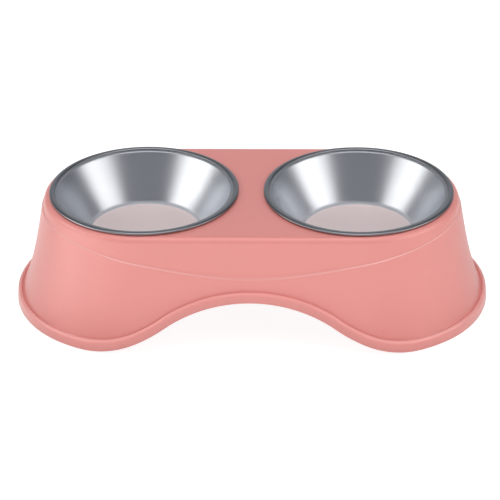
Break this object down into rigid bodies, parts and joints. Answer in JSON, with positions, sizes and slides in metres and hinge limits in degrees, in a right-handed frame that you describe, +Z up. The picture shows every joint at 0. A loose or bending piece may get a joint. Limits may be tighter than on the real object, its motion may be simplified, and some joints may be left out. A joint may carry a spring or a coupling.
{
  "type": "double pet bowl",
  "caption": "Double pet feeder: spun steel bowls drop into an arched, flared one-piece plastic stand with rubber feet; each bowl lifts out for washing.",
  "frame": {"origin": "on the floor, under the middle of the stand", "axes": "+X along the stand from the left bowl to the right, front towards -Y, +Z up"},
  "size_m": [0.4034, 0.2154, 0.0995],
  "materials": {
    "moulded_plastic": "satin pink moulded plastic with a very fine grain",
    "brushed_steel": "spun stainless steel, satin inside with a polished rolled rim",
    "foot_rubber": "matt dark grey rubber"
  },
  "bodies": {
    "stand": {"stand": "moulded_plastic", "foot_front_left": "foot_rubber", "foot_front_right": "foot_rubber", "foot_back_left": "foot_rubber", "foot_back_right": "foot_rubber"},
    "left_bowl": {"left_bowl": "brushed_steel"},
    "right_bowl": {"right_bowl": "brushed_steel"}
  },
  "joints": [
    {"name": "left_bowl_lift", "type": "slide", "parent": "stand", "child": "left_bowl", "axis": [0, 0, 1], "range_m": [0, 0.08]},
    {"name": "right_bowl_lift", "type": "slide", "parent": "stand", "child": "right_bowl", "axis": [0, 0, 1], "range_m": [0, 0.08]}
  ]
}
